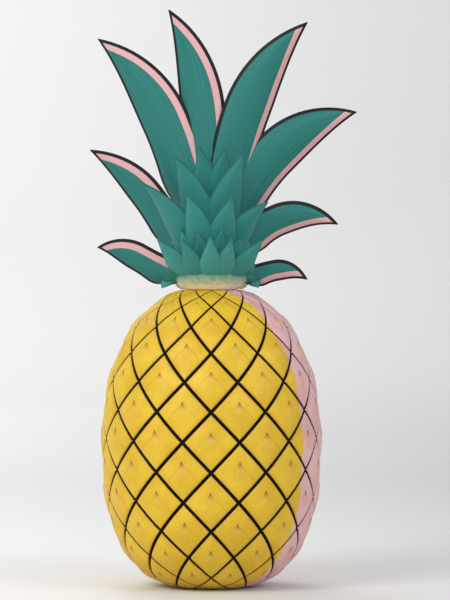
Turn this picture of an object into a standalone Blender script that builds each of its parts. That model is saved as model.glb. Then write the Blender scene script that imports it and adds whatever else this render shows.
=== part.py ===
"""A ripe pineapple that stands on its own foot: the fruit with its lattice of eyes, the crown of leaves, and the
cut end of the stalk underneath. Metres, +Z up. The origin is on the fruit's axis, at the foot's flat face, and -Y is
the fruit's front."""

import bisect
import math
import random

import bmesh
import bpy
from mathutils import Matrix, Vector

MM = 0.001
GAP = 0.3 * MM  # between pieces that touch
CLOSE = 0.01 * MM

# The fruit's outline: two quarter curves that meet at its widest place.
FRUIT_RADIUS = 63.3 * MM
WIDEST_HEIGHT = 86.0 * MM
SHOULDER_RISE = 91.0 * MM
SHOULDER_FULLNESS = 2.15  # 2 is an ellipse, and more is squarer
BELLY_FULLNESS = 2.6
FOOT_RADIUS = 20.0 * MM
SEAT_RADIUS = 18.0 * MM  # the flat top that carries the crown
OUTLINE_STEPS = 600

# The lattice of eyes. Laid flat, an eye is a square of side 1. A row is an eye's height, from corner to corner.
EYES_ROUND = 12
EYES_HIGH = 7
FACING = math.radians(-90)  # the bearing where corners of eyes stand one above the other
SMALLEST_EYE = 0.5  # the size of the eyes round the foot and the crown, as a share of the others'
SMALL_WITHIN = 25.0 * MM  # of the axis
LARGE_BEYOND = 45.0 * MM
MESH_LINES = (0.0, 0.1, 0.5, 0.9)  # across an eye: the groove, the rim, the middle and the rim again
GROOVE_DEPTH = 2.0 * MM
EYE_RIM = 0.3 * MM
EYE_TIP = 1.8 * MM
TIP_LEAN = 0.08  # rows that an eye's tip leans towards the crown
PLAIN_AT_FOOT = 0.6  # rows over which the relief comes up from nothing
PLAIN_AT_SEAT = 0.3

# The stalk, cut across, in its hollow in the foot.
STALK_RADIUS = 12.0 * MM
STALK_LENGTH = 7.0 * MM
STALK_BEVEL = 0.8 * MM
STALK_SIDES = 24

# The crown's stem, as (radius, height over its own foot).
STEM_SIDES = 24
STEM_OUTLINE = [
    (0.0, 0.0),
    (15.5 * MM, 0.0),
    (17.5 * MM, 2.0 * MM),
    (22.0 * MM, 5.5 * MM),
    (22.5 * MM, 9.0 * MM),
    (17.0 * MM, 24.0 * MM),
    (11.0 * MM, 50.0 * MM),
    (4.0 * MM, 80.0 * MM),
    (0.0, 80.0 * MM),
]

# A tier of leaves: the middle lines of leaves that would point straight left, right, to the front and to the back,
# each the four points of a cubic curve as millimetres from the axis and over CROWN_DATUM, and their widths, how wide a
# leaf's foot is as a share of its width, and the bearings of all the tier's leaves. The outermost two come first and
# have the left or the right line. The others have a line and a width in between.
CROWN_DATUM = 175.0 * MM
TIERS = [
    {
        "left": [(14.0, 2.5), (30.0, 5.0), (45.5, 25.5), (67.2, 24.1)],
        "right": [(14.0, 2.5), (28.0, 4.5), (39.6, 17.3), (56.4, 5.3)],
        "front": [(14.0, 4.5), (24.0, 8.0), (33.0, 18.0), (44.0, 30.0)],
        "back": [(14.0, 4.5), (24.0, 8.0), (33.0, 18.0), (46.0, 30.0)],
        "widths": {"left": 17.5, "right": 13.0, "front": 15.0, "back": 15.0},
        "foot": 1.3,
        "bearings": [3, 177, 54, 78, 102, 126, 232, 251, 270, 289, 308],
    },
    {
        "left": [(9.0, 5.0), (25.0, 32.0), (38.0, 65.0), (71.3, 81.0)],
        "right": [(9.0, 5.0), (17.6, 29.6), (44.5, 52.3), (74.3, 37.6)],
        "front": [(9.0, 9.0), (19.0, 26.0), (31.0, 42.0), (48.0, 54.0)],
        "back": [(9.0, 9.0), (19.0, 28.0), (32.0, 48.0), (54.0, 64.0)],
        "widths": {"left": 20.0, "right": 20.0, "front": 18.0, "back": 18.0},
        "foot": 1.2,
        "bearings": [354, 186, 56, 80, 100, 124, 225, 256, 284, 311],
    },
    {
        "left": [(6.0, 10.0), (15.8, 59.0), (22.5, 115.0), (67.2, 146.8)],
        "right": [(6.0, 10.0), (11.7, 51.5), (40.7, 95.6), (86.0, 103.9)],
        "front": [(6.0, 14.0), (13.0, 40.0), (25.0, 60.0), (44.0, 76.0)],
        "back": [(6.0, 14.0), (13.0, 48.0), (25.0, 80.0), (48.0, 102.0)],
        "widths": {"left": 30.0, "right": 29.0, "front": 21.0, "back": 21.0},
        "foot": 0.9,
        "bearings": [6, 174, 62, 90, 118, 242, 292],
    },
    {
        "left": [(3.0, 15.0), (7.0, 63.0), (-3.0, 121.0), (25.5, 163.2)],
        "right": [(3.0, 15.0), (11.0, 63.0), (15.5, 120.0), (56.7, 155.6)],
        "front": [(3.0, 18.0), (7.0, 46.0), (13.0, 68.0), (26.0, 84.0)],
        "back": [(3.0, 18.0), (7.0, 58.0), (13.0, 90.0), (28.0, 114.0)],
        "widths": {"left": 27.0, "right": 29.0, "front": 20.0, "back": 22.0},
        "foot": 0.8,
        "bearings": [352, 190, 50, 108, 252, 286],
    },
    {
        "left": [(2.0, 30.0), (4.0, 50.0), (6.0, 66.0), (11.0, 80.0)],
        "right": [(2.0, 30.0), (4.0, 50.0), (6.0, 64.0), (12.0, 76.0)],
        "front": [(2.0, 30.0), (4.0, 48.0), (5.0, 62.0), (9.0, 76.0)],
        "back": [(2.0, 30.0), (4.0, 52.0), (6.0, 76.0), (12.0, 96.0)],
        "widths": {"left": 15.0, "right": 15.0, "front": 15.0, "back": 15.0},
        "foot": 0.8,
        "bearings": [20, 164, 92, 268],
    },
]
# The ring of short leaves at the crown's foot, in the same terms. Those at the sides bend over the fruit's shoulder.
FOOT_TIER = {
    "left": [(15.0, 4.0), (22.0, 6.5), (27.0, 4.0), (31.0, -0.4)],
    "right": [(15.0, 4.0), (21.0, 6.0), (25.0, 4.0), (28.0, 0.4)],
    "front": [(15.0, 4.0), (21.0, 7.0), (24.0, 11.0), (27.0, 17.0)],
    "back": [(15.0, 4.0), (21.0, 7.0), (24.0, 11.0), (27.0, 17.0)],
    "widths": {"left": 11.0, "right": 10.0, "front": 11.0, "back": 11.0},
    "foot": 1.1,
    "bearings": [0, 22, 45, 67, 90, 113, 136, 158, 180, 202, 224, 246, 270, 294, 316, 338],
}
FOOT_BEARING_JITTER = 5.0
FOOT_REACH_JITTER = 0.12  # only ever shorter
FOOT_SEED = 5
SIDE_POWER = 5.0  # how soon a leaf's line leaves the left or right one as its bearing does
REACH_JITTER = 0.05
BEARING_JITTER = 4.0
OUTER_TURN = 0.8  # how far a leaf turns its broad side to the front or the back
INNER_TURN = 0.45
TURN_FROM, TURN_TO = 0.04, 0.4  # where along the leaf it turns
CHANNEL_DEPTH = 0.16  # a leaf's hollow, as a share of its width
WIDEST_AT, INNER_WIDEST_AT = 0.6, 0.42  # of a leaf at the side, and of one at the front or the back
TAPER_POWER, INNER_TAPER_POWER = 1.9, 1.25
TIP_WIDTH = 1.2 * MM
LEAF_THICKNESS = 1.2 * MM
LEAF_SEGMENTS = 9
FOOT_LEAF_SEGMENTS = 5
SEED = 7

SHARP_FROM = math.radians(35)  # edges that bend more than this are shaded sharp
FRUIT_YELLOW = (229, 191, 62)
LEAF_TEAL = (48, 124, 119)
STALK_TAN = (186, 152, 98)


def material(name, colour, roughness):
    """A plain finish, from a screen colour."""
    made = bpy.data.materials.new(name)
    made.use_nodes = True
    shader = made.node_tree.nodes["Principled BSDF"]
    linear = [((part / 255 + 0.055) / 1.055) ** 2.4 for part in colour]
    shader.inputs["Base Color"].default_value = (*linear, 1.0)
    shader.inputs["Roughness"].default_value = roughness
    shader.inputs["Metallic"].default_value = 0.0
    return made


def object_from(bm, name, collection):
    mesh = bpy.data.meshes.new(name)
    bm.to_mesh(mesh)
    bm.free()
    made = bpy.data.objects.new(name, mesh)
    collection.objects.link(made)
    return made


def finish(obj, colour, roughness):
    obj.data.materials.clear()
    obj.data.materials.append(material(f"{obj.name}_skin", colour, roughness))
    obj.data.shade_smooth()
    obj.data.set_sharp_from_angle(angle=SHARP_FROM)


def mix(low, high, share):
    return low + (high - low) * share


def smooth_step(share):
    share = min(max(share, 0.0), 1.0)
    return share * share * (3 - 2 * share)


def quarter_reach(radius, fullness):
    """How far along a quarter's rise the outline is at this radius, from 0 at the widest place to 1 at the axis."""
    return (1 - (radius / FRUIT_RADIUS) ** fullness) ** (1 / fullness)


SEAT_HEIGHT = WIDEST_HEIGHT + SHOULDER_RISE * quarter_reach(SEAT_RADIUS, SHOULDER_FULLNESS)
BELLY_RISE = WIDEST_HEIGHT / quarter_reach(FOOT_RADIUS, BELLY_FULLNESS)


def outline_radius(height):
    """The fruit's radius at a height over its foot."""
    above = height - WIDEST_HEIGHT
    if above > 0:
        rise, fullness = SHOULDER_RISE, SHOULDER_FULLNESS
    else:
        rise, fullness = BELLY_RISE, BELLY_FULLNESS
    return FRUIT_RADIUS * (1 - (abs(above) / rise) ** fullness) ** (1 / fullness)


def eye_size(radius):
    """An eye's size at this radius of the fruit, as a share of the largest."""
    return mix(SMALLEST_EYE, 1.0, smooth_step((radius - SMALL_WITHIN) / (LARGE_BEYOND - SMALL_WITHIN)))


class Outline:
    """The fruit's outline from foot to seat, measured in rows of eyes."""

    def __init__(self):
        heights = [SEAT_HEIGHT * step / OUTLINE_STEPS for step in range(OUTLINE_STEPS + 1)]
        self.spots = [Vector((outline_radius(height), height)) for height in heights]
        rows = [0.0]
        for low, high in zip(self.spots, self.spots[1:]):
            rows.append(rows[-1] + (high - low).length / eye_size((low.x + high.x) / 2))
        self.rows = [row * EYES_HIGH / rows[-1] for row in rows]

    def at(self, row):
        """The (radius, height) at a row, and the outward direction there."""
        after = min(max(bisect.bisect(self.rows, row), 1), OUTLINE_STEPS)
        low, high = self.spots[after - 1], self.spots[after]
        share = (row - self.rows[after - 1]) / (self.rows[after] - self.rows[after - 1])
        climb = (high - low).normalized()
        return low.lerp(high, share), Vector((climb.y, -climb.x))


def eye_relief(x, y):
    """How far the skin stands out at a place of the flat lattice, and how many rows that place leans up."""
    from_groove = round(min(abs(place - round(place)) for place in (x, y)), 3)
    if from_groove == MESH_LINES[0]:
        return -GROOVE_DEPTH, 0.0
    if from_groove == MESH_LINES[1]:
        return EYE_RIM, 0.0
    return EYE_TIP, TIP_LEAN


def wrap_on_fruit(bm):
    """Takes the flat lattice round the fruit, with the relief of its eyes."""
    outline = Outline()
    for vert in bm.verts:
        x, y = vert.co.x, vert.co.y
        row = (x + y) / 2
        fade = smooth_step(row / PLAIN_AT_FOOT) * smooth_step((EYES_HIGH - row) / PLAIN_AT_SEAT)
        relief, lean = eye_relief(x, y)
        spot, outward = outline.at(row + lean * fade)
        radius, height = spot + outward * relief * fade * eye_size(spot.x)
        bearing = FACING + (x - y) * math.pi / EYES_ROUND
        vert.co = (radius * math.cos(bearing), radius * math.sin(bearing), height)


def flat_lattice():
    """The skin laid flat: a band of unit squares between the foot, where x + y is 0, and the seat."""
    bm = bmesh.new()
    wide = EYES_ROUND
    long = EYES_ROUND + 2 * EYES_HIGH
    per_eye = len(MESH_LINES)
    bmesh.ops.create_grid(bm, x_segments=wide * per_eye, y_segments=long * per_eye, size=0.5)
    for vert in bm.verts:
        for axis, eyes, start in ((0, wide, 0), (1, long, -EYES_ROUND)):
            line = round((vert.co[axis] + 0.5) * eyes * per_eye)
            vert.co[axis] = start + line // per_eye + MESH_LINES[line % per_eye]
    for edge, outer in ((0.0, -1.0), (float(EYES_HIGH), 1.0)):
        bmesh.ops.bisect_plane(
            bm,
            geom=[*bm.verts, *bm.edges, *bm.faces],
            dist=1e-4,
            plane_co=(edge, edge, 0.0),
            plane_no=(outer, outer, 0.0),
            clear_outer=True,
        )
    return bm


def rim_at(bm, height):
    """The open edges of a mesh at a height."""
    return [e for e in bm.edges if e.is_boundary and all(abs(v.co.z - height) < CLOSE for v in e.verts)]


def extrude_rim(bm, rim, radius_share, rise):
    """Extrudes open edges, takes the new ones towards or from the axis, and returns them."""
    grown = bmesh.ops.extrude_edge_only(bm, edges=rim)["geom"]
    verts = [part for part in grown if isinstance(part, bmesh.types.BMVert)]
    bmesh.ops.scale(bm, vec=(radius_share, radius_share, 1.0), verts=verts)
    bmesh.ops.translate(bm, vec=(0, 0, rise), verts=verts)
    return [part for part in grown if isinstance(part, bmesh.types.BMEdge)]


def make_fruit(collection):
    bm = flat_lattice()
    wrap_on_fruit(bm)
    bmesh.ops.remove_doubles(bm, verts=bm.verts, dist=CLOSE)
    bmesh.ops.holes_fill(bm, edges=rim_at(bm, SEAT_HEIGHT), sides=0)
    hollow_radius = STALK_RADIUS + GAP
    mouth = extrude_rim(bm, rim_at(bm, 0.0), hollow_radius / FOOT_RADIUS, 0.0)
    hollow_end = extrude_rim(bm, mouth, 1.0, STALK_LENGTH + GAP)
    bmesh.ops.holes_fill(bm, edges=hollow_end, sides=0)
    bmesh.ops.recalc_face_normals(bm, faces=bm.faces)
    return object_from(bm, "fruit", collection)


def make_stalk(collection):
    """The stalk's end, cut off level with the fruit's foot."""
    bm = bmesh.new()
    bmesh.ops.create_cone(
        bm,
        cap_ends=True,
        segments=STALK_SIDES,
        radius1=STALK_RADIUS,
        radius2=STALK_RADIUS,
        depth=STALK_LENGTH,
        matrix=Matrix.Translation((0, 0, STALK_LENGTH / 2)),
    )
    rim = [edge for edge in bm.edges if all(vert.co.z < CLOSE for vert in edge.verts)]
    bmesh.ops.bevel(bm, geom=rim, offset=STALK_BEVEL, segments=1, profile=0.5, affect="EDGES", material=-1)
    return object_from(bm, "stalk", collection)


def make_stem(collection):
    """The crown's stem, turned from its outline."""
    bm = bmesh.new()
    foot = SEAT_HEIGHT + GAP
    verts = [bm.verts.new((radius, 0, foot + height)) for radius, height in STEM_OUTLINE]
    edges = [bm.edges.new(pair) for pair in zip(verts, verts[1:])]
    bmesh.ops.spin(
        bm,
        geom=[*verts, *edges],
        cent=(0, 0, 0),
        axis=(0, 0, 1),
        angle=math.tau,
        steps=STEM_SIDES,
        use_merge=True,
    )
    bmesh.ops.remove_doubles(bm, verts=bm.verts, dist=CLOSE)
    bmesh.ops.recalc_face_normals(bm, faces=bm.faces)
    return object_from(bm, "crown", collection)


def on_curve(points, share):
    """The place at a share of a cubic curve, and the direction of travel there."""
    a, b, c, d = points
    rest = 1 - share
    place = a * rest**3 + b * 3 * rest**2 * share + c * 3 * rest * share**2 + d * share**3
    travel = (b - a) * rest**2 + (c - b) * 2 * rest * share + (d - c) * share**2
    return place, travel.normalized()


def leaf_width(width, foot_share, share, to_side):
    """A leaf's width at a share of its length: broad and even, then drawn out to a point."""
    widest = mix(INNER_WIDEST_AT, WIDEST_AT, to_side)
    if share < widest:
        return width * mix(foot_share, 1.0, smooth_step(share / widest))
    to_tip = (share - widest) / (1 - widest)
    return mix(width, TIP_WIDTH, to_tip ** mix(INNER_TAPER_POWER, TAPER_POWER, to_side))


def make_leaf(tier, bearing, reach, outermost, segments, collection):
    side_on = "right" if math.cos(bearing) > 0 else "left"
    end_on = "back" if math.sin(bearing) > 0 else "front"
    to_side = 1.0 if outermost else abs(math.cos(bearing)) ** SIDE_POWER
    points = [Vector(low).lerp(Vector(high), to_side) * MM for low, high in zip(tier[end_on], tier[side_on])]
    points = [points[0] + (point - points[0]) * reach for point in points]
    width = mix(tier["widths"][end_on], tier["widths"][side_on], to_side) * MM
    out = Vector((math.cos(bearing), math.sin(bearing), 0))
    sideways = Vector((-math.sin(bearing), math.cos(bearing), 0))
    # The inner face looks back over the axis. It turns to the back, or where it already looks to the front, there.
    looks = math.remainder(bearing + math.pi, math.tau)
    if outermost or looks > 0:
        full_turn = math.remainder(math.pi / 2 - looks, math.tau)
    else:
        full_turn = -math.pi / 2 - looks
    turn_share = OUTER_TURN if outermost else INNER_TURN

    bm = bmesh.new()
    bmesh.ops.create_grid(bm, x_segments=2, y_segments=segments, size=0.5)
    for vert in bm.verts:
        share = vert.co.y + 0.5
        place, travel = on_curve(points, share)
        along = out * travel.x + Vector((0, 0, travel.y))
        inward = along.cross(sideways)
        turn = full_turn * turn_share * smooth_step((share - TURN_FROM) / (TURN_TO - TURN_FROM))
        side = sideways * math.cos(turn) + inward * math.sin(turn)
        face = inward * math.cos(turn) - sideways * math.sin(turn)
        wide = leaf_width(width, tier["foot"], share, to_side)
        hollow = CHANNEL_DEPTH * wide * (2 * vert.co.x) ** 2
        middle = out * place.x + Vector((0, 0, CROWN_DATUM + place.y))
        vert.co = middle + side * (vert.co.x * wide) + face * hollow
    # Split before it is thickened, so that both faces bend along the same lines.
    bmesh.ops.triangulate(bm, faces=bm.faces, quad_method="FIXED")
    bmesh.ops.recalc_face_normals(bm, faces=bm.faces)
    bmesh.ops.solidify(bm, geom=bm.faces, thickness=LEAF_THICKNESS)
    bmesh.ops.recalc_face_normals(bm, faces=bm.faces)
    return object_from(bm, "leaf", collection)


def connected_to(first):
    """All the verts of the body that a vert belongs to."""
    found = {first}
    waiting = [first]
    while waiting:
        vert = waiting.pop()
        neighbours = {edge.other_vert(vert) for edge in vert.link_edges} - found
        found |= neighbours
        waiting.extend(neighbours)
    return found


def keep_largest_body(mesh):
    """Fills the small hollows that leaves close off between them, by dropping their inner walls."""
    bm = bmesh.new()
    bm.from_mesh(mesh)
    bodies = []
    left = set(bm.verts)
    while left:
        bodies.append(connected_to(next(iter(left))))
        left -= bodies[-1]
    largest = max(bodies, key=len)
    bmesh.ops.delete(bm, geom=[vert for vert in bm.verts if vert not in largest], context="VERTS")
    bm.to_mesh(mesh)
    bm.free()


def make_crown(collection):
    """The stem and all its leaves, grown together into one body."""
    draws = random.Random(SEED)
    crown = make_stem(collection)
    leaves = bpy.data.collections.new("leaves")
    collection.children.link(leaves)
    for tier in TIERS:
        for place, bearing in enumerate(tier["bearings"]):
            outermost = place < 2
            reach = 1.0
            if not outermost:
                bearing += draws.uniform(-BEARING_JITTER, BEARING_JITTER)
                reach += draws.uniform(-REACH_JITTER, REACH_JITTER)
            make_leaf(tier, math.radians(bearing), reach, outermost, LEAF_SEGMENTS, leaves)
    foot_draws = random.Random(FOOT_SEED)
    for bearing in FOOT_TIER["bearings"]:
        bearing += foot_draws.uniform(-FOOT_BEARING_JITTER, FOOT_BEARING_JITTER)
        reach = 1.0 + foot_draws.uniform(-FOOT_REACH_JITTER, 0.0)
        make_leaf(FOOT_TIER, math.radians(bearing), reach, False, FOOT_LEAF_SEGMENTS, leaves)
    union = crown.modifiers.new("union", "BOOLEAN")
    union.operation = "UNION"
    union.operand_type = "COLLECTION"
    union.collection = leaves
    union.solver = "EXACT"
    bpy.context.view_layer.objects.active = crown
    bpy.ops.object.modifier_apply(modifier=union.name)
    for leaf in list(leaves.objects):
        bpy.data.objects.remove(leaf)
    bpy.data.collections.remove(leaves)
    keep_largest_body(crown.data)
    return crown


for old in list(bpy.data.objects):
    bpy.data.objects.remove(old)
pineapple = bpy.context.scene.collection
finish(make_fruit(pineapple), FRUIT_YELLOW, 0.5)
finish(make_stalk(pineapple), STALK_TAN, 0.8)
finish(make_crown(pineapple), LEAF_TEAL, 0.55)
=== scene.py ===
import bisect
import math
import random

import bmesh
import bpy
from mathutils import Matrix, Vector, noise


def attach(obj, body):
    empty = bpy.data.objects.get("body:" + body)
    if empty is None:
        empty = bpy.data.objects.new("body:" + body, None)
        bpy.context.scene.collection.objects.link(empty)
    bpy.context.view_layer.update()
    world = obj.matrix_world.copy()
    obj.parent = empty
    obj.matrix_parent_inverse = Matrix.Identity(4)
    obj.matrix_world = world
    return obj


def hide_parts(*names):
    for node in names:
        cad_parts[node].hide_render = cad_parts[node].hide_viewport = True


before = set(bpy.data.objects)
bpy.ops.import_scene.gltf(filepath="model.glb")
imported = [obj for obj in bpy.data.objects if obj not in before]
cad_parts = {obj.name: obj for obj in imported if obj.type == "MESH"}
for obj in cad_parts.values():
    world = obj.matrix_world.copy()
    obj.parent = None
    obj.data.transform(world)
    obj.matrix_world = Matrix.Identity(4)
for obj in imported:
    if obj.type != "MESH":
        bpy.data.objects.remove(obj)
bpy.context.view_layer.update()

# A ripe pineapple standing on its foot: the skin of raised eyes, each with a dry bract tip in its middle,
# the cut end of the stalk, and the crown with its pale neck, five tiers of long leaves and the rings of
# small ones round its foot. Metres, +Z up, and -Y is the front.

# The skin of the fruit.
# A rind of some 160 eyes, each the dried flower and bract of one small fruit, grown together into one body.
# They stand in two families of spirals with dark seams between them. The rind closes under the crown, and
# at the foot it runs in round the hollow for the stalk.
MM = 0.001
CLOSE = 0.01 * MM
CLOSE_ON_LATTICE = 1e-4
SHARP_FROM = math.radians(50)
FRUIT_RADIUS = 63.3 * MM
WIDEST_HEIGHT = 86.0 * MM
SHOULDER_RISE = 91.0 * MM
SHOULDER_FULLNESS = 2.15
BELLY_FULLNESS = 2.6
FOOT_RADIUS = 20.0 * MM
SEAT_RADIUS = 18.0 * MM
OUTLINE_STEPS = 600
EYES_ROUND = 12
EYES_HIGH = 7
FACING = math.radians(-90)
SMALLEST_EYE = 0.5
SMALL_WITHIN = 25.0 * MM
LARGE_BEYOND = 45.0 * MM
PLAIN_AT_FOOT = 0.6
PLAIN_AT_SEAT = 0.3
LINES_PER_EYE = 22
LINES_TO_THE_SEAMS = 0.45
SEAM_DEPTH = 2.0 * MM
SEAM_HALF_WIDTH = 0.05
EYE_CROWN = 1.15 * MM
EYE_SQUARENESS = 4.0
FLAP_RISE = 0.3 * MM
FLAP_WIDTH = 0.40
FLAP_HEIGHT = 0.62
FLAP_SOFTNESS = 0.07
STALK_HOLLOW_RADIUS = 12.3 * MM
STALK_HOLLOW_DEPTH = 7.3 * MM


def mix(low, high, share):
    return low + (high - low) * share


def smooth_step(share):
    share = min(max(share, 0.0), 1.0)
    return share * share * (3 - 2 * share)


def quarter_reach(radius, fullness):
    """The share of its own height at which a quarter curve of the outline has come in to a radius."""
    return (1 - (radius / FRUIT_RADIUS) ** fullness) ** (1 / fullness)


SEAT_HEIGHT = WIDEST_HEIGHT + SHOULDER_RISE * quarter_reach(SEAT_RADIUS, SHOULDER_FULLNESS)
BELLY_RISE = WIDEST_HEIGHT / quarter_reach(FOOT_RADIUS, BELLY_FULLNESS)


def outline_radius(height):
    """The fruit's radius at a height over its foot: one quarter curve for the belly, one for the shoulder."""
    above = height - WIDEST_HEIGHT
    if above > 0:
        rise, fullness = SHOULDER_RISE, SHOULDER_FULLNESS
    else:
        rise, fullness = BELLY_RISE, BELLY_FULLNESS
    return FRUIT_RADIUS * (1 - (abs(above) / rise) ** fullness) ** (1 / fullness)


def eye_size(radius):
    """How big an eye is beside one at the widest place. They get smaller towards the foot and the seat."""
    return mix(SMALLEST_EYE, 1.0, smooth_step((radius - SMALL_WITHIN) / (LARGE_BEYOND - SMALL_WITHIN)))


class Outline:
    """The fruit's outline from foot to seat, measured in rows of eyes."""

    def __init__(self):
        heights = [SEAT_HEIGHT * step / OUTLINE_STEPS for step in range(OUTLINE_STEPS + 1)]
        self.spots = [Vector((outline_radius(height), height)) for height in heights]
        rows = [0.0]
        for low, high in zip(self.spots, self.spots[1:]):
            rows.append(rows[-1] + (high - low).length / eye_size((low.x + high.x) / 2))
        self.rows = [row * EYES_HIGH / rows[-1] for row in rows]

    def at(self, row):
        """The radius and height at a row, and the outward direction there."""
        after = min(max(bisect.bisect(self.rows, row), 1), OUTLINE_STEPS)
        low, high = self.spots[after - 1], self.spots[after]
        share = (row - self.rows[after - 1]) / (self.rows[after] - self.rows[after - 1])
        climb = (high - low).normalized()
        return low.lerp(high, share), Vector((climb.y, -climb.x))


outline = Outline()


def eye_relief(x, y):
    """How far the skin stands out at a place of the flat lattice, where an eye is a square of side 1."""
    across, along = abs(x - round(x)), abs(y - round(y))
    seam = 1 - smooth_step(min(across, along) / SEAM_HALF_WIDTH)
    pillow = (1 - (1 - 2 * across) ** EYE_SQUARENESS) * (1 - (1 - 2 * along) ** EYE_SQUARENESS)
    up = (x % 1 + y % 1) / 2
    aside = abs(x % 1 - y % 1) / 2
    flap_edge = FLAP_WIDTH * (1 - (up / FLAP_HEIGHT) ** 2)
    flap = smooth_step((flap_edge - aside) / FLAP_SOFTNESS) * smooth_step(2 * up)
    return EYE_CROWN * pillow + FLAP_RISE * flap * pillow - SEAM_DEPTH * seam


def on_fruit(x, y, lift=0.0):
    """The place on the fruit of a place of the flat lattice, lifted off the skin."""
    row = (x + y) / 2
    fade = smooth_step(row / PLAIN_AT_FOOT) * smooth_step((EYES_HIGH - row) / PLAIN_AT_SEAT)
    spot, outward = outline.at(row)
    relief = (eye_relief(x, y) * fade + lift) * eye_size(spot.x)
    radius, height = spot + outward * relief
    bearing = FACING + (x - y) * math.pi / EYES_ROUND
    return Vector((radius * math.cos(bearing), radius * math.sin(bearing), height))


def piece(bm, name, node, finish):
    """Makes a finished piece of a mesh: an object that rides on the fruit and stands for a node."""
    mesh = bpy.data.meshes.new(name)
    bm.to_mesh(mesh)
    bm.free()
    mesh.materials.append(finish)
    mesh.shade_smooth()
    mesh.set_sharp_from_angle(angle=SHARP_FROM)
    made = bpy.data.objects.new(name, mesh)
    bpy.context.scene.collection.objects.link(made)
    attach(made, "root")
    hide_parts(node)


def rim_at(bm, height):
    """The open edges of a mesh at a height."""
    return [e for e in bm.edges if e.is_boundary and all(abs(v.co.z - height) < CLOSE for v in e.verts)]


def extrude_rim(bm, rim, radius_share, rise):
    """Grows a strip of faces from an open rim, drawn in by a share of its radius and raised."""
    grown = bmesh.ops.extrude_edge_only(bm, edges=rim)["geom"]
    verts = [part for part in grown if isinstance(part, bmesh.types.BMVert)]
    bmesh.ops.scale(bm, vec=(radius_share, radius_share, 1.0), verts=verts)
    bmesh.ops.translate(bm, vec=(0, 0, rise), verts=verts)
    return [part for part in grown if isinstance(part, bmesh.types.BMEdge)]


def skin_mesh():
    """A band of unit squares with more lines near the seams, cut level at foot and seat and taken round."""
    bm = bmesh.new()
    wide = EYES_ROUND
    long = EYES_ROUND + 2 * EYES_HIGH
    bmesh.ops.create_grid(bm, x_segments=wide * LINES_PER_EYE, y_segments=long * LINES_PER_EYE, size=0.5)
    for vert in bm.verts:
        for axis, eyes, start in ((0, wide, 0), (1, long, -EYES_ROUND)):
            place = round((vert.co[axis] + 0.5) * eyes * LINES_PER_EYE) / LINES_PER_EYE
            place -= LINES_TO_THE_SEAMS * math.sin(math.tau * place) / math.tau
            vert.co[axis] = start + place
    for edge, outer in ((0.0, -1.0), (float(EYES_HIGH), 1.0)):
        bmesh.ops.bisect_plane(
            bm,
            geom=[*bm.verts, *bm.edges, *bm.faces],
            dist=CLOSE_ON_LATTICE,
            plane_co=(edge, edge, 0.0),
            plane_no=(outer, outer, 0.0),
            clear_outer=True,
        )
    lattice = bm.loops.layers.uv.new("lattice")
    for face in bm.faces:
        for loop in face.loops:
            loop[lattice].uv = loop.vert.co.xy
    for vert in bm.verts:
        vert.co = on_fruit(vert.co.x, vert.co.y)
    bmesh.ops.remove_doubles(bm, verts=bm.verts, dist=CLOSE)
    bmesh.ops.holes_fill(bm, edges=rim_at(bm, SEAT_HEIGHT), sides=0)
    mouth = extrude_rim(bm, rim_at(bm, 0.0), STALK_HOLLOW_RADIUS / FOOT_RADIUS, 0.0)
    hollow_end = extrude_rim(bm, mouth, 1.0, STALK_HOLLOW_DEPTH)
    bmesh.ops.holes_fill(bm, edges=hollow_end, sides=0)
    bmesh.ops.recalc_face_normals(bm, faces=bm.faces)
    return bm


class Value:
    """What varies over a surface, as a shader socket. Arithmetic on it adds Math nodes."""

    def __init__(self, socket):
        self.socket = socket

    def node(self, kind, settings, inputs, output=0):
        """Adds a node to the same material: its settings first, then the values or links of its sockets."""
        tree = self.socket.id_data
        made = tree.nodes.new(kind)
        for name, setting in settings.items():
            setattr(made, name, setting)
        for name, given in inputs.items():
            if isinstance(given, Value):
                tree.links.new(given.socket, made.inputs[name])
            else:
                made.inputs[name].default_value = given
        return Value(made.outputs[output])

    def math(self, operation, first, second=0.0):
        return self.node("ShaderNodeMath", {"operation": operation}, {0: first, 1: second})

    def __add__(self, other):
        return self.math("ADD", self, other)

    __radd__ = __add__

    def __sub__(self, other):
        return self.math("SUBTRACT", self, other)

    def __rsub__(self, other):
        return self.math("SUBTRACT", other, self)

    def __mul__(self, other):
        return self.math("MULTIPLY", self, other)

    __rmul__ = __mul__

    def __truediv__(self, other):
        return self.math("DIVIDE", self, other)

    def __pow__(self, other):
        return self.math("POWER", self, other)

    def __abs__(self):
        return self.math("ABSOLUTE", self)

    def __mod__(self, other):
        return self.math("FLOORED_MODULO", self, other)

    def most(self, other):
        return self.math("MAXIMUM", self, other)

    def step(self, low, high):
        """0 up to low, 1 from high, and smooth in between."""
        return self.node(
            "ShaderNodeMapRange",
            {"interpolation_type": "SMOOTHSTEP"},
            {"Value": self, "From Min": low, "From Max": high},
        )

    def blend(self, low, high):
        """A colour between two, by this share."""
        return self.node("ShaderNodeMix", {"data_type": "RGBA"}, {0: self, 6: low, 7: high}, 2)

    def part(self, axis):
        return self.node("ShaderNodeSeparateXYZ", {}, {0: self}, axis)

    def stretched(self, x, y, z):
        return self.node("ShaderNodeVectorMath", {"operation": "MULTIPLY"}, {0: self, 1: (x, y, z)})

    def length(self):
        return self.node("ShaderNodeVectorMath", {"operation": "LENGTH"}, {0: self}, 1)

    def from_axis(self):
        """How far a place is from the fruit's upright axis."""
        return self.stretched(1.0, 1.0, 0.0).length()

    def noise(self, scale, detail=2.0, roughness=0.5):
        return self.node(
            "ShaderNodeTexNoise",
            {},
            {"Vector": self, "Scale": scale, "Detail": detail, "Roughness": roughness},
        )

    def bump(self, strength, distance):
        return self.node("ShaderNodeBump", {}, {"Height": self, "Strength": strength, "Distance": distance})


def paint(red, green, blue):
    """A screen colour as the shader's linear one."""
    return (*(((part / 255 + 0.055) / 1.055) ** 2.4 for part in (red, green, blue)), 1.0)


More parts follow.
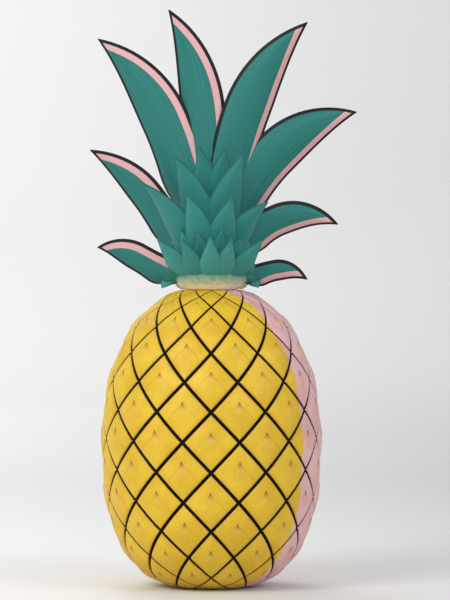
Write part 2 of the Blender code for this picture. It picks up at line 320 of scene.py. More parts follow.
def new_finish(name, constants, uv_map=None):
    """A material, its shader with what is the same all over, and the places on its piece, solid and flat."""
    made = bpy.data.materials.new(name)
    made.use_nodes = True
    tree = made.node_tree
    shader = tree.nodes["Principled BSDF"]
    for socket, constant in constants.items():
        shader.inputs[socket].default_value = constant
    place = Value(tree.nodes.new("ShaderNodeTexCoord").outputs["Object"])
    flat = place.node("ShaderNodeUVMap", {"uv_map": uv_map}, {}) if uv_map else None
    return made, shader, place, flat


def feed(shader, **values):
    """Links what varies to the shader's sockets, whose names are written with underscores."""
    for name, value in values.items():
        shader.id_data.links.new(value.socket, shader.inputs[name.replace("_", " ")])


RIPE_YELLOW = paint(226, 187, 45)
DEEP_YELLOW = paint(213, 172, 34)
PALE_YELLOW = paint(236, 202, 80)
RUST_AND_SHADE_BROWN = paint(176, 120, 34)
SEAM_AND_SHADE_BLACK = paint(12, 7, 5)
# A pink shade is painted down the rind's right side. The lighter pink also tints the pink bands of the
# leaves.
SHADE_AND_MARGIN_PINK = paint(228, 182, 183)
DEEP_SHADE_PINK = paint(216, 168, 170)
FOOT_BROWN = paint(128, 92, 46)
SHADE_PINK_REACH = 11.5 * MM
SHADE_PINK_EDGE = 0.6 * MM
SHADE_PINK_UNEVENNESS = 1.0 * MM
SHADE_PINK_FADING_BEHIND = 0.3
RAGS_PER_METRE, SEAM_RAGGEDNESS = 900.0, 0.012
SEAM_PAINT = (0.034, 0.048)
RUST_AND_SHADE_RIM = (0.03, 0.16)
FLAP_EDGE = 0.012
FLAP_LINE_OUTSIDE, FLAP_LINE_INSIDE = (-0.03, -0.004), (0.0, 0.02)
CLOUDS_PER_METRE, CLOUD_SPREAD = 70.0, (0.3, 0.7)
GRAINS_PER_METRE = 520.0
PORES_PER_METRE = 1500.0
FOOT_PATCH_TOP = (7.0 * MM, 8.0 * MM)
FOOT_PATCH_EDGE = 0.4 * MM
SEAT_PATCH_EDGE = 0.3 * MM


def painted_shade_on(place, cloud):
    """1 on the side where a pink shade is painted on the rind. It ends in a line in front and fades out
    behind.
    """
    inwards = place.from_axis() - place.part(0)
    fading = place.part(1).most(0.0) * SHADE_PINK_FADING_BEHIND + SHADE_PINK_EDGE
    cloudy = inwards + (cloud - 0.5) * (fading + SHADE_PINK_UNEVENNESS)
    return 1.0 - cloudy.step(SHADE_PINK_REACH - fading, SHADE_PINK_REACH + fading)


def skin_finish():
    """Yellow in clouds and grains, rusty with painted shade near the black seams, a painted pink shade on one
    side and brown on the foot.
    """
    made, shader, place, flat = new_finish("ripe_skin", {"Specular IOR Level": 0.35}, uv_map="lattice")
    x, y = flat.part(0) % 1.0, flat.part(1) % 1.0
    ragged = (place.noise(RAGS_PER_METRE, 3.0) - 0.5) * SEAM_RAGGEDNESS
    from_seam = 0.5 - abs(x - 0.5).most(abs(y - 0.5)) + ragged
    seam = 1.0 - from_seam.step(*SEAM_PAINT)
    rim = 1.0 - from_seam.step(*RUST_AND_SHADE_RIM)

    up, aside = (x + y) * 0.5, abs(x - y) * 0.5
    flap_edge = (1.0 - (up / FLAP_HEIGHT) ** 2.0) * FLAP_WIDTH - aside
    flap = flap_edge.step(-FLAP_EDGE, FLAP_EDGE)
    flap_line = flap_edge.step(*FLAP_LINE_OUTSIDE) * (1.0 - flap_edge.step(*FLAP_LINE_INSIDE))

    cloud = place.noise(CLOUDS_PER_METRE, 3.0)
    grain = place.noise(GRAINS_PER_METRE, 4.0, 0.6)
    yellow = cloud.step(*CLOUD_SPREAD).blend(DEEP_YELLOW, RIPE_YELLOW)
    yellow = (grain.step(0.5, 0.8) * 0.5).blend(yellow, PALE_YELLOW)
    # Near the seams the rind turns rusty brown: its own colour, and painted shade toward the grooves.
    yellow = ((rim * grain.step(0.35, 0.7)) * 0.35).blend(yellow, RUST_AND_SHADE_BROWN)
    yellow = (flap_line * 0.2).blend(yellow, RUST_AND_SHADE_BROWN)

    pink = cloud.step(*CLOUD_SPREAD).blend(DEEP_SHADE_PINK, SHADE_AND_MARGIN_PINK)
    pink = (flap_line * 0.15).blend(pink, RUST_AND_SHADE_BROWN)
    # Painted shade: the rind is pink down its right side, with a crisp edge in front.
    skin = painted_shade_on(place, cloud).blend(yellow, pink)
    radius = place.from_axis()
    low_down = 1.0 - place.part(2).step(*FOOT_PATCH_TOP)
    foot = (1.0 - radius.step(FOOT_RADIUS, FOOT_RADIUS + FOOT_PATCH_EDGE)) * low_down
    seat = 1.0 - radius.step(SEAT_RADIUS, SEAT_RADIUS + SEAT_PATCH_EDGE)
    skin = (seam * (1.0 - foot.most(seat))).blend(skin, SEAM_AND_SHADE_BLACK)
    skin = (foot * (0.45 + grain * 0.6)).blend(skin, FOOT_BROWN)

    pores = place.noise(PORES_PER_METRE, 2.0)
    height = flap * 0.5 + grain * 0.22 + pores * 0.1
    feed(
        shader,
        Base_Color=skin,
        Roughness=0.42 + seam * 0.35 + grain * 0.12,
        Normal=height.bump(0.55, 0.6 * MM),
    )
    return made


piece(skin_mesh(), "fruit_skin", "fruit", skin_finish())

# The bract tips.
# Each eye is covered to its middle by a papery bract, and this is its dry point, which lies close to the skin
# and points to the crown. They are of one growth with the rind.
TIP_FROM = 0.36
TIP_TO = 0.70
TIP_LENGTHS = (0.85, 1.0)
TIP_LEAN = 0.02
TIP_HALF_WIDTH = 0.075
TIP_FOOT = 0.2
TIP_END = 0.97
TIP_LIFT = 0.30 * MM
TIP_ARCH_FROM, TIP_ARCH_TO = 0.05, 0.65
TIP_EDGE_LIFT = 0.4
TIP_THICKNESS = 0.30 * MM
TIP_ACROSS, TIP_ALONG = 4, 6
TIP_SEED = 3
TIP_FIBRES_ACROSS, TIP_FIBRES_ALONG = 14.0, 2.0
TIP_STRAW = paint(222, 178, 74)
TIP_BROWN = paint(150, 100, 40)


def flat_slab(across, along, name):
    """A closed flat slab of side 1 and thickness 1 with maps of its own, to be bent into blades."""
    bm = bmesh.new()
    bm.verts.layers.float.new("breadth")
    bmesh.ops.create_grid(bm, x_segments=across, y_segments=along, size=0.5)
    bmesh.ops.solidify(bm, geom=bm.faces[:], thickness=1.0)
    bmesh.ops.recalc_face_normals(bm, faces=bm.faces)
    lowest = min(vert.co.z for vert in bm.verts)
    bmesh.ops.translate(bm, vec=(0, 0, -lowest - 0.5), verts=bm.verts)
    blade = bm.loops.layers.uv.new("blade")
    bm.loops.layers.uv.new("marks")
    for face in bm.faces:
        for loop in face.loops:
            loop[blade].uv = loop.vert.co.xy + Vector((0.5, 0.5))
    slab = bpy.data.meshes.new(name)
    bm.to_mesh(slab)
    bm.free()
    return slab


def add_slab(bm, slab, mark):
    """Adds a slab to a mesh, marks it with two numbers of its own, and returns its verts."""
    first_vert, first_face = len(bm.verts), len(bm.faces)
    bm.from_mesh(slab)
    bm.verts.ensure_lookup_table()
    bm.faces.ensure_lookup_table()
    layer = bm.loops.layers.uv["marks"]
    for face in bm.faces[first_face:]:
        for loop in face.loops:
            loop[layer].uv = mark
    return bm.verts[first_vert:]


def tips_mesh():
    draws = random.Random(TIP_SEED)
    slab = flat_slab(TIP_ACROSS, TIP_ALONG, "tip_slab")
    bm = bmesh.new()
    for column in range(EYES_ROUND):
        for rank in range(-column, 2 * EYES_HIGH - 1 - column):
            length = draws.uniform(*TIP_LENGTHS)
            lean = draws.uniform(-TIP_LEAN, TIP_LEAN)
            for vert in add_slab(bm, slab, (draws.random(), 0.0)):
                share = vert.co.y + 0.5
                up = mix(TIP_FROM, mix(TIP_FROM, TIP_TO, length), share)
                swell = math.sin(math.pi * mix(TIP_FOOT, TIP_END, share))
                aside = vert.co.x * 2 * TIP_HALF_WIDTH * swell + lean * share
                fullness = 1 - (2 * vert.co.x) ** 2
                arch = math.sin(math.pi * mix(TIP_ARCH_FROM, TIP_ARCH_TO, share))
                lift = TIP_LIFT * arch * mix(TIP_EDGE_LIFT, 1.0, fullness)
                lift += (vert.co.z - 0.5) * TIP_THICKNESS
                vert.co = on_fruit(column + up + aside, rank + up - aside, lift)
    return bm


def tips_finish():
    """The skin's own colours at the foot, then fibrous straw, and brown at the point."""
    made, shader, place, flat = new_finish("dry_bract", {"Roughness": 0.62}, uv_map="blade")
    share = flat.part(1)
    cloud = place.noise(CLOUDS_PER_METRE, 3.0)
    fibre = flat.stretched(TIP_FIBRES_ACROSS, TIP_FIBRES_ALONG, 1.0).noise(1.0, 2.0)
    colour = cloud.step(*CLOUD_SPREAD).blend(DEEP_YELLOW, RIPE_YELLOW)
    # The tips take the rind's painted pink shade on that side too.
    colour = painted_shade_on(place, cloud).blend(colour, DEEP_SHADE_PINK)
    colour = (share.step(0.2, 0.6) * fibre.step(0.3, 0.6) * 0.6).blend(colour, TIP_STRAW)
    colour = share.step(0.55, 1.0).blend(colour, TIP_BROWN)
    feed(shader, Base_Color=colour, Normal=fibre.bump(0.4, 0.2 * MM))
    return made


piece(tips_mesh(), "bract_tips", "fruit", tips_finish())

# The stalk's end.
# The woody stalk that the fruit grew on, cut off level with its foot. The cut shows dark fibres in pale pith,
# with a ring of bark round it.
STALK_RADIUS = 12.0 * MM
STALK_LENGTH = 7.0 * MM
STALK_BEVEL = 0.8 * MM
STALK_SIDES = 64
CUT_RINGS = 14
CUT_ROUGHNESS = 0.25 * MM
PITS_PER_METRE = 900.0
FIBRES_PER_METRE = 950.0
FIBRE_SPOT = (0.16, 0.34)
PITH_PATCHES_PER_METRE = 300.0
PITH_UNEVENNESS = 2.0 * MM
BARK_FROM, BARK_TO = 9.8 * MM, 11.2 * MM
PITH_PALE = paint(226, 206, 158)
PITH_DEEP = paint(206, 178, 128)
FIBRE_DARK = paint(150, 112, 66)
BARK = paint(104, 78, 46)


def turned(outline_points, sides):
    """A body turned from an outline of radii and heights. It is closed where the outline ends on the axis."""
    bm = bmesh.new()
    verts = [bm.verts.new((radius, 0, height)) for radius, height in outline_points]
    edges = [bm.edges.new(pair) for pair in zip(verts, verts[1:])]
    bmesh.ops.spin(
        bm,
        geom=[*verts, *edges],
        cent=(0, 0, 0),
        axis=(0, 0, 1),
        angle=math.tau,
        steps=sides,
        use_merge=True,
    )
    bmesh.ops.remove_doubles(bm, verts=bm.verts, dist=CLOSE)
    bmesh.ops.recalc_face_normals(bm, faces=bm.faces)
    return bm


def stalk_mesh():
    cut_radius = STALK_RADIUS - STALK_BEVEL
    cut = [(cut_radius * ring / CUT_RINGS, 0.0) for ring in range(CUT_RINGS + 1)]
    side_and_top = [(STALK_RADIUS, STALK_BEVEL), (STALK_RADIUS, STALK_LENGTH), (0.0, STALK_LENGTH)]
    bm = turned([*cut, *side_and_top], STALK_SIDES)
    for vert in bm.verts:
        if vert.co.z < CLOSE:
            vert.co.z += CUT_ROUGHNESS * mix(0.5, 1.0, noise.noise(vert.co * PITS_PER_METRE))
    return bm


def stalk_finish():
    made, shader, place, _ = new_finish("cut_stalk", {"Roughness": 0.85})
    drawn_up = place.stretched(1.0, 1.0, 0.1)
    pith = drawn_up.noise(PITH_PATCHES_PER_METRE, 3.0)
    from_fibre = place.node("ShaderNodeTexVoronoi", {}, {"Vector": drawn_up, "Scale": FIBRES_PER_METRE})
    fibre = 1.0 - from_fibre.step(*FIBRE_SPOT)
    outwards = place.from_axis() + (pith - 0.5) * PITH_UNEVENNESS
    colour = pith.step(0.35, 0.7).blend(PITH_PALE, PITH_DEEP)
    colour = (fibre * 0.8).blend(colour, FIBRE_DARK)
    colour = outwards.step(BARK_FROM, BARK_TO).blend(colour, BARK)
    feed(shader, Base_Color=colour, Normal=(fibre * 0.6 + pith * 0.4).bump(0.6, 0.3 * MM))
    return made


piece(stalk_mesh(), "stalk_end", "stalk", stalk_finish())

# The crown's stem.
# The short pale stem that the leaves grow from, sitting on top of the fruit. Only its neck shows, under the
# lowest leaves. The rest runs up inside them and ends in a pointed bud.
STEM_FOOT = SEAT_HEIGHT + 0.3 * MM
STEM_SIDES = 72
STEM_OUTLINE = [
    (0.0, 0.0),
    (15.5 * MM, 0.0),
    (16.8 * MM, 1.0 * MM),
    (17.6 * MM, 2.0 * MM),
    (19.6 * MM, 3.6 * MM),
    (21.6 * MM, 5.4 * MM),
    (22.2 * MM, 7.4 * MM),
    (22.0 * MM, 9.4 * MM),
    (19.8 * MM, 16.0 * MM),
    (16.6 * MM, 24.0 * MM),
    (13.8 * MM, 36.0 * MM),
    (10.8 * MM, 50.0 * MM),
    (8.0 * MM, 59.0 * MM),
    (5.0 * MM, 65.0 * MM),
    (2.4 * MM, 69.0 * MM),
    (0.0, 72.0 * MM),
]
NECK_CREAM = paint(240, 232, 206)
NECK_GREEN = paint(150, 172, 132)
LEAF_TEAL = paint(40, 120, 113)
PALE_UP_TO, TEAL_FROM = 178.5 * MM, 186.0 * MM
PALE_SOFTNESS = 3.0 * MM
STREAKS_PER_METRE, STREAK_UNEVENNESS = 420.0, 4.0 * MM


def stem_finish():
    made, shader, place, _ = new_finish("neck", {"Roughness": 0.55})
    streak = place.stretched(1.0, 1.0, 0.2).noise(STREAKS_PER_METRE, 3.0)
    height = place.part(2) + (streak - 0.5) * STREAK_UNEVENNESS
    greening = height.step(PALE_UP_TO - PALE_SOFTNESS, PALE_UP_TO + PALE_SOFTNESS)
    colour = greening.blend(NECK_CREAM, NECK_GREEN)
    colour = height.step(PALE_UP_TO, TEAL_FROM).blend(colour, LEAF_TEAL)
    feed(shader, Base_Color=colour, Normal=streak.bump(0.4, 0.5 * MM))
    return made


neck_skin = stem_finish()
stem = turned([(radius, STEM_FOOT + height) for radius, height in STEM_OUTLINE], STEM_SIDES)
piece(stem, "crown_stem", "crown", neck_skin)

# The leaves.
# Stiff, channelled blades in tiers round the stem, of one growth with it. The first two of a tier are its
# outermost, at the right and left, with a pink band along one margin and a black line round the edge. The
# points of the leaves' middle lines are in millimetres, out from the axis and up from the crown's datum.
CROWN_DATUM = 175.0 * MM
TIERS = [
    {
        "name": "outer_leaves",
        "left": [(14.0, 2.5), (30.0, 5.0), (45.5, 25.5), (67.2, 24.1)],
        "right": [(14.0, 2.5), (28.0, 4.5), (39.6, 17.3), (56.4, 5.3)],
        "front": [(14.0, 4.5), (24.0, 8.0), (33.0, 18.0), (44.0, 30.0)],
        "back": [(14.0, 4.5), (24.0, 8.0), (33.0, 18.0), (46.0, 30.0)],
        "widths": {"left": 17.5, "right": 13.0, "front": 15.0, "back": 15.0},
        "foot": 1.3,
        "bearings": [3, 177, 54, 78, 102, 126, 232, 251, 270, 289, 308],
        "thickness": 1.3,
    },
    {
        "name": "lower_leaves",
        "left": [(9.0, 5.0), (25.0, 32.0), (38.0, 65.0), (71.3, 81.0)],
        "right": [(9.0, 5.0), (17.6, 29.6), (44.5, 52.3), (74.3, 37.6)],
        "front": [(9.0, 9.0), (19.0, 26.0), (31.0, 42.0), (48.0, 54.0)],
        "back": [(9.0, 9.0), (19.0, 28.0), (32.0, 48.0), (54.0, 64.0)],
        "widths": {"left": 20.0, "right": 20.0, "front": 18.0, "back": 18.0},
        "foot": 1.2,
        "bearings": [354, 186, 56, 80, 100, 124, 225, 256, 284, 311],
        "thickness": 1.5,
    },
    {
        "name": "middle_leaves",
        "left": [(6.0, 10.0), (15.8, 59.0), (22.5, 115.0), (67.2, 146.8)],
        "right": [(6.0, 10.0), (11.7, 51.5), (40.7, 95.6), (86.0, 103.9)],
        "front": [(6.0, 14.0), (13.0, 40.0), (25.0, 60.0), (44.0, 76.0)],
        "back": [(6.0, 14.0), (13.0, 48.0), (25.0, 80.0), (48.0, 102.0)],
        "widths": {"left": 30.0, "right": 29.0, "front": 21.0, "back": 21.0},
        "foot": 0.9,
        "bearings": [6, 174, 62, 90, 118, 242, 292],
        "thickness": 1.7,
    },
    {
        "name": "upper_leaves",
        "left": [(3.0, 15.0), (7.0, 63.0), (-3.0, 121.0), (25.5, 163.2)],
        "right": [(3.0, 15.0), (11.0, 63.0), (15.5, 120.0), (56.7, 155.6)],
        "front": [(3.0, 18.0), (7.0, 46.0), (13.0, 68.0), (26.0, 84.0)],
        "back": [(3.0, 18.0), (7.0, 58.0), (13.0, 90.0), (28.0, 114.0)],
        "widths": {"left": 27.0, "right": 29.0, "front": 20.0, "back": 22.0},
        "foot": 0.8,
        "bearings": [352, 190, 50, 108, 252, 286],
        "thickness": 1.7,
    },
    {
        "name": "heart_leaves",
        "left": [(2.0, 30.0), (4.0, 50.0), (6.0, 66.0), (11.0, 80.0)],
        "right": [(2.0, 30.0), (4.0, 50.0), (6.0, 64.0), (12.0, 76.0)],
        "front": [(2.0, 30.0), (4.0, 48.0), (5.0, 62.0), (9.0, 76.0)],
        "back": [(2.0, 30.0), (4.0, 52.0), (6.0, 76.0), (12.0, 96.0)],
        "widths": {"left": 15.0, "right": 15.0, "front": 15.0, "back": 15.0},
        "foot": 0.8,
        "bearings": [20, 164, 92, 268],
        "thickness": 1.3,
    },
]
SIDE_POWER = 5.0
REACH_JITTER = 0.05
BEARING_JITTER = 4.0
OUTER_TURN = 0.8
INNER_TURN = 0.45
TURN_FROM, TURN_TO = 0.04, 0.4
CHANNEL_DEPTH = 0.16
WIDEST_AT, INNER_WIDEST_AT = 0.6, 0.42
TAPER_POWER, INNER_TAPER_POWER = 1.9, 1.25
TIP_WIDTH = 0.4 * MM
EDGE_THICKNESS = 0.5 * MM
LEAF_ACROSS, LEAF_ALONG = 12, 40
MARGIN_WAVE, MARGIN_WAVES = 0.012, 9
THINNED_AT_TIP = 0.5
PLACES_SEED, LOOKS_SEED = 7, 11


def on_curve(points, share):
    """The place on a leaf's middle line, a curve of four points, and the direction in which it runs."""
    a, b, c, d = points
    rest = 1 - share
    place = a * rest**3 + b * 3 * rest**2 * share + c * 3 * rest * share**2 + d * share**3
    travel = (b - a) * rest**2 + (c - b) * 2 * rest * share + (d - c) * share**2
    return place, travel.normalized()


def leaf_width(width, foot_share, share, to_side):
    """A leaf's width at a share of its length, from its clasping foot to its widest place and its point."""
    widest = mix(INNER_WIDEST_AT, WIDEST_AT, to_side)
    if share < widest:
        return width * mix(foot_share, 1.0, smooth_step(share / widest))
    to_tip = (share - widest) / (1 - widest)
    return mix(width, TIP_WIDTH, to_tip ** mix(INNER_TAPER_POWER, TAPER_POWER, to_side))


def add_leaf(bm, slab, tier, bearing, reach, outermost, draws):
    """Bends a slab into a leaf at a bearing, turned about its middle line to show its broad side."""
    side_on = "right" if math.cos(bearing) > 0 else "left"
    end_on = "back" if math.sin(bearing) > 0 else "front"
    to_side = 1.0 if outermost else abs(math.cos(bearing)) ** SIDE_POWER
    ends = zip(tier[end_on], tier[side_on])
    points = [Vector(at_end).lerp(Vector(at_side), to_side) * MM for at_end, at_side in ends]
    points = [points[0] + (point - points[0]) * reach for point in points]
    width = mix(tier["widths"][end_on], tier["widths"][side_on], to_side) * MM
    out = Vector((math.cos(bearing), math.sin(bearing), 0))
    sideways = Vector((-math.sin(bearing), math.cos(bearing), 0))
    looks = math.remainder(bearing + math.pi, math.tau)
    if outermost or looks > 0:
        full_turn = math.remainder(math.pi / 2 - looks, math.tau)
    else:
        full_turn = -math.pi / 2 - looks
    turn_share = OUTER_TURN if outermost else INNER_TURN
    phase = draws.uniform(0, math.tau)
    for vert in add_slab(bm, slab, (draws.random(), float(outermost))):
        share = vert.co.y + 0.5
        place, travel = on_curve(points, share)
        along = out * travel.x + Vector((0, 0, travel.y))
        inward = along.cross(sideways)
        turn = full_turn * turn_share * smooth_step((share - TURN_FROM) / (TURN_TO - TURN_FROM))
        side = sideways * math.cos(turn) + inward * math.sin(turn)
        face = inward * math.cos(turn) - sideways * math.sin(turn)
        wide = leaf_width(width, tier["foot"], share, to_side)
        vert[bm.verts.layers.float["breadth"]] = wide / MM
        from_middle = (2 * vert.co.x) ** 2
        wave = MARGIN_WAVE * math.sin(MARGIN_WAVES * share + phase + 2 * vert.co.x) * from_middle
        hollow = (CHANNEL_DEPTH * from_middle + wave) * wide
        body = tier["thickness"] * MM * mix(1.0, THINNED_AT_TIP, share)
        thick = mix(body, min(EDGE_THICKNESS, body), from_middle)
        middle = out * place.x + Vector((0, 0, CROWN_DATUM + place.y))
        vert.co = middle + side * (vert.co.x * wide) + face * (hollow + vert.co.z * thick)


PINK_BAND = paint(219, 168, 170)
TEAL_LIGHT = paint(50, 132, 124)
TEAL_DARK = paint(26, 100, 95)
INNER_PAINTED_LIGHT_TEAL = paint(70, 164, 156)
EDGE_BLACK = paint(14, 18, 17)
STREAKS_ACROSS, STREAKS_ALONG = 46.0, 1.6
VEINS_ACROSS, VEINS_ALONG = 120.0, 1.2
LEAF_CLOUDS_PER_METRE, LINE_UNEVENNESS = 60.0, 0.4
PINK_BREADTH, PINK_SOFTNESS = 5.0, 0.4
PINK_FROM = (0.2, 0.42)
EDGE_BREADTH = 1.25
EDGE_LINE = (0.35, 0.65)
EDGE_FROM = (0.1, 0.2)
CREAM_FOOT, GREEN_FOOT = (0.02, 0.09), (0.07, 0.15)


def leaf_finish():
    """Streaked teal, painted lighter on inner leaves as painted light, with a pale foot. Pink band and edge
    are measured in millimetres from the margin.
    """
    made, shader, place, flat = new_finish("crown_leaf", {"Specular IOR Level": 0.25}, uv_map="blade")
    across, along = flat.part(0), flat.part(1)
    marks = place.node("ShaderNodeUVMap", {"uv_map": "marks"}, {})
    tone, blushing = marks.part(0), marks.part(1)
    streaks = flat.stretched(STREAKS_ACROSS, STREAKS_ALONG, 1.0).noise(1.0, 3.0, 0.55)
    veins = flat.stretched(VEINS_ACROSS, VEINS_ALONG, 1.0).noise(1.0, 1.0)
    cloud = place.noise(LEAF_CLOUDS_PER_METRE, 2.0)
    green = streaks.step(0.3, 0.7).blend(TEAL_DARK, TEAL_LIGHT)
    # Leaves other than the outermost are painted a paler teal: painted light, making up for the shade they
    # stand in.
    green = (0.55 + (tone - 0.5) * 0.3).blend(green, blushing.blend(INNER_PAINTED_LIGHT_TEAL, LEAF_TEAL))
    breadth = place.node("ShaderNodeAttribute", {"attribute_name": "breadth"}, {}, 2)
    from_edge = (0.5 - abs(across - 0.5)) * breadth
    ragged = (cloud - 0.5) * LINE_UNEVENNESS
    from_blush = (1.0 - across) * breadth + ragged
    pink = 1.0 - from_blush.step(PINK_BREADTH, PINK_BREADTH + PINK_SOFTNESS)
    pink = pink * along.step(*PINK_FROM) * blushing
    colour = pink.blend(green, (streaks.step(0.2, 0.8) * 0.3).blend(PINK_BAND, SHADE_AND_MARGIN_PINK))
    up = along + (streaks - 0.5) * 0.06
    foot = up.step(*CREAM_FOOT).blend(NECK_CREAM, NECK_GREEN)
    colour = up.step(*GREEN_FOOT).blend(foot, colour)
    edge_at = from_edge + ragged * 0.3 - blushing * EDGE_BREADTH
    edge = (1.0 - edge_at.step(*EDGE_LINE)) * up.step(*EDGE_FROM) * (0.45 + blushing * 0.55)
    colour = edge.blend(colour, EDGE_BLACK)
    relief = veins * 0.6 + streaks * 0.4 - edge * 0.3
    feed(
        shader,
        Base_Color=colour,
        Roughness=0.40 + streaks * 0.15,
        Normal=relief.bump(0.35, 0.5 * MM),
    )
    return made


# A leaf's side, run and face make a left-handed frame, so its slab has the faces turned over beforehand.
leaf_slab = flat_slab(LEAF_ACROSS, LEAF_ALONG, "leaf_slab")
leaf_slab.flip_normals()
leaf_green = leaf_finish()
places = random.Random(PLACES_SEED)
looks_of_leaves = random.Random(LOOKS_SEED)
for tier in TIERS:
    leaves = bmesh.new()
    for number, bearing in enumerate(tier["bearings"]):
        outermost = number < 2
        reach = 1.0
        if not outermost:
            bearing += places.uniform(-BEARING_JITTER, BEARING_JITTER)
            reach += places.uniform(-REACH_JITTER, REACH_JITTER)
        add_leaf(leaves, leaf_slab, tier, math.radians(bearing), reach, outermost, looks_of_leaves)
    piece(leaves, tier["name"], "crown", leaf_green)

# The small leaves at the crown's foot.
# Short scales clasp the neck, and green ones stand in rings above them. Those at the two sides bend over the
# shoulder of the fruit. They are of one growth with the stem, as the long leaves are.
SMALL_TIERS = [
    {
        "name": "neck_scales",
        "left": [(13.5, 0.4), (16.5, 0.4), (19.5, 2.5), (22.6, 5.6)],
        "right": [(13.5, 0.4), (16.5, 0.4), (19.5, 2.5), (22.6, 5.6)],
        "front": [(13.5, 0.4), (16.5, 0.4), (19.5, 2.5), (22.0, 7.2)],
        "back": [(13.5, 0.4), (16.5, 0.4), (19.5, 2.5), (22.0, 7.2)],
        "widths": {"left": 9.5, "right": 9.5, "front": 9.5, "back": 9.5},
        "foot": 1.1,
        "bearings": [10, 32, 55, 77, 100, 122, 145, 167, 190, 212, 235, 257, 280, 302, 325, 347],
        "thickness": 0.7,
        "skin": neck_skin,
    },
    {
        "name": "stem_scales",
        "left": [(15.0, 4.0), (22.0, 6.5), (27.0, 4.0), (31.0, -0.4)],
        "right": [(15.0, 4.0), (21.0, 6.0), (25.0, 4.0), (28.0, 0.4)],
        "front": [(15.0, 4.0), (21.0, 7.0), (24.0, 11.0), (27.0, 17.0)],
        "back": [(15.0, 4.0), (21.0, 7.0), (24.0, 11.0), (27.0, 17.0)],
        "widths": {"left": 11.0, "right": 10.0, "front": 11.0, "back": 11.0},
        "foot": 1.1,
        "bearings": [0, 22, 45, 67, 90, 113, 136, 158, 180, 202, 224, 246, 270, 294, 316, 338],
        "thickness": 0.9,
        "skin": leaf_green,
    },
    {
        "name": "stem_blades",
        "left": [(15.0, 3.0), (21.0, 6.0), (23.0, 12.0), (27.0, 20.0)],
        "right": [(15.0, 3.0), (20.5, 5.5), (22.5, 10.0), (25.5, 15.0)],
        "front": [(15.0, 4.0), (21.0, 7.0), (24.0, 13.0), (29.0, 21.0)],
        "back": [(15.0, 4.0), (21.0, 7.0), (24.0, 13.0), (29.0, 21.0)],
        "widths": {"left": 12.0, "right": 12.0, "front": 12.0, "back": 12.0},
        "foot": 1.1,
        "bearings": [11, 33, 56, 79, 102, 125, 148, 170, 191, 213, 235, 258, 282, 305, 327, 349],
        "thickness": 0.9,
        "skin": leaf_green,
    },
    {
        "name": "stem_leaves",
        "left": [(12.0, 12.0), (18.0, 17.0), (20.0, 25.0), (25.0, 36.0)],
        "right": [(12.0, 12.0), (18.0, 16.0), (19.5, 22.0), (23.0, 30.0)],
        "front": [(12.0, 12.0), (18.0, 17.0), (22.0, 25.0), (28.0, 36.0)],
        "back": [(12.0, 12.0), (18.0, 17.0), (22.0, 25.0), (28.0, 36.0)],
        "widths": {"left": 14.0, "right": 14.0, "front": 13.0, "back": 13.0},
        "foot": 1.1,
        "bearings": [12, 42, 74, 100, 140, 168, 197, 228, 258, 285, 312, 340],
        "thickness": 1.1,
        "skin": leaf_green,
    },
]
SMALL_BEARING_JITTER = 5.0
SMALL_REACH_JITTER = 0.12
SMALL_SEED = 5

for tier in SMALL_TIERS:
    small_places = random.Random(SMALL_SEED)
    leaves = bmesh.new()
    for bearing in tier["bearings"]:
        bearing += small_places.uniform(-SMALL_BEARING_JITTER, SMALL_BEARING_JITTER)
        reach = 1.0 + small_places.uniform(-SMALL_REACH_JITTER, 0.0)
        add_leaf(leaves, leaf_slab, tier, math.radians(bearing), reach, False, looks_of_leaves)
    piece(leaves, tier["name"], "crown", tier["skin"])

# The floor.
# A pale round floor that turns up into a paler wall all round. Its grey is painted shade and light: a little
# darker some way off and to the right, as the photograph's ground is, and paler up the wall.
FLOOR_RADIUS = 2.3
COVE_RADIUS = 1.2
COVE_STEPS = 18
WALL_TOP = 1.3
FLOOR_SIDES = 128
# Painted shade and light: darker far off and to the right, paler on the wall.
NEAR_GREY = paint(244, 244, 244)
FAR_SHADE_GREY = paint(222, 222, 222)
WALL_LIGHT_GREY = paint(248, 248, 248)
FAR_SHADE_FROM, WALL_LIGHT_FROM = (0.0, 1.0), (1.4, 3.0)
RIGHT_SHADE, RIGHT_SHADE_REACH = 0.2, 0.5
NEAR_SHADE, NEAR_SHADE_REACH, NEAR_SHADE_ENDS = 0.12, 0.3, (0.5, 3.0)


def floor_outline():
    """The outline from the middle of the floor out to the cove, round it and up the wall."""
    turn = [math.pi / 2 * step / COVE_STEPS for step in range(COVE_STEPS + 1)]
    cove = [(FLOOR_RADIUS + COVE_RADIUS * math.sin(a), COVE_RADIUS * (1 - math.cos(a))) for a in turn]
    return [(0.0, 0.0), *cove, (FLOOR_RADIUS + COVE_RADIUS, WALL_TOP)]


def floor_finish():
    made, shader, place, _ = new_finish("floor_painted_shade", {"Roughness": 0.9, "Specular IOR Level": 0.1})
    from_middle, to_right = place.length(), place.part(0)
    # Painted shade: the grey darkens some way off, turns paler up the wall, and is shaded toward black to the
    # right.
    grey = from_middle.step(*FAR_SHADE_FROM).blend(NEAR_GREY, FAR_SHADE_GREY)
    grey = from_middle.step(*WALL_LIGHT_FROM).blend(grey, WALL_LIGHT_GREY)
    near = 1.0 - from_middle.step(*NEAR_SHADE_ENDS)
    near_shade = to_right.step(-NEAR_SHADE_REACH, NEAR_SHADE_REACH) * near * NEAR_SHADE
    shade = to_right.step(-RIGHT_SHADE_REACH, RIGHT_SHADE_REACH) * RIGHT_SHADE + near_shade
    feed(shader, Base_Color=shade.blend(grey, SEAM_AND_SHADE_BLACK))
    return made


floor_mesh = turned(floor_outline(), FLOOR_SIDES)
mesh = bpy.data.meshes.new("floor")
floor_mesh.to_mesh(mesh)
floor_mesh.free()
mesh.shade_smooth()
mesh.materials.append(floor_finish())
floor = bpy.data.objects.new("floor", mesh)
bpy.context.scene.collection.objects.link(floor)

# The lights.
# Four round soft lights aimed at the middle of the object, one aimed at the wall behind it, and an even white
# light from all round.
MIDDLE = Vector((0, 0, 0.17))
SKY_STRENGTH = 0.54


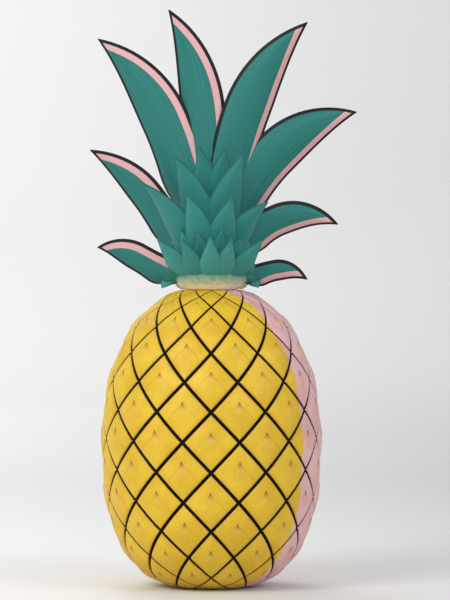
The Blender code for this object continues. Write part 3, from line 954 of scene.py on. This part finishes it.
def soft_light(name, place, size, watts, aim=MIDDLE):
    """A round area light that faces what it is aimed at."""
    lamp = bpy.data.lights.new(name, "AREA")
    lamp.shape = "DISK"
    lamp.size = size
    lamp.energy = watts
    made = bpy.data.objects.new(name, lamp)
    made.location = place
    made.rotation_euler = (aim - Vector(place)).to_track_quat("-Z", "Y").to_euler()
    bpy.context.scene.collection.objects.link(made)


soft_light("key", place=(-1.3, -1.5, 1.5), size=1.2, watts=25)
soft_light("fill", place=(1.6, -1.4, 1.2), size=1.2, watts=12.5)
soft_light("front", place=(-0.3, -2.3, 0.85), size=1.2, watts=5.5)
soft_light("back", place=(-0.6, 1.6, 1.6), size=1.4, watts=12)
soft_light("wall", place=(-0.3, 1.3, 2.4), size=1.6, watts=20, aim=Vector((-0.2, 3.4, 0.4)))

world = bpy.data.worlds.new("studio")
world.use_nodes = True
sky = world.node_tree.nodes["Background"]
sky.inputs["Color"].default_value = (1, 1, 1, 1)
sky.inputs["Strength"].default_value = SKY_STRENGTH
bpy.context.scene.world = world
bpy.context.scene.view_settings.view_transform = "Standard"

# The camera.
# A long lens that looks down by one degree. The photograph is 450 by 600 pixels. The fruit's axis stands at
# x 211.5 in it, the foot at y 586.5, and a pixel is 0.587 mm at the fruit.
PIXEL = 0.5872 * MM
PHOTO_WIDTH, PHOTO_HEIGHT = 450, 600
AXIS_AT, FOOT_AT = 211.5, 586.5
LENS, FILM = 200.0, 36.0
LOOKS_DOWN_BY = math.radians(1.0)
camera_data = bpy.data.cameras.new("camera")
camera_data.lens = LENS
camera_data.sensor_width = FILM
camera = bpy.data.objects.new("camera", camera_data)
bpy.context.scene.collection.objects.link(camera)
bpy.context.scene.camera = camera
centre = Vector(((PHOTO_WIDTH / 2 - AXIS_AT) * PIXEL, 0, (FOOT_AT - PHOTO_HEIGHT / 2) * PIXEL))
away = PHOTO_HEIGHT * PIXEL * LENS / FILM
back = Vector((0, -math.cos(LOOKS_DOWN_BY), math.sin(LOOKS_DOWN_BY)))
camera.location = centre + back * away
camera.rotation_euler = (-back).to_track_quat("-Z", "Y").to_euler()
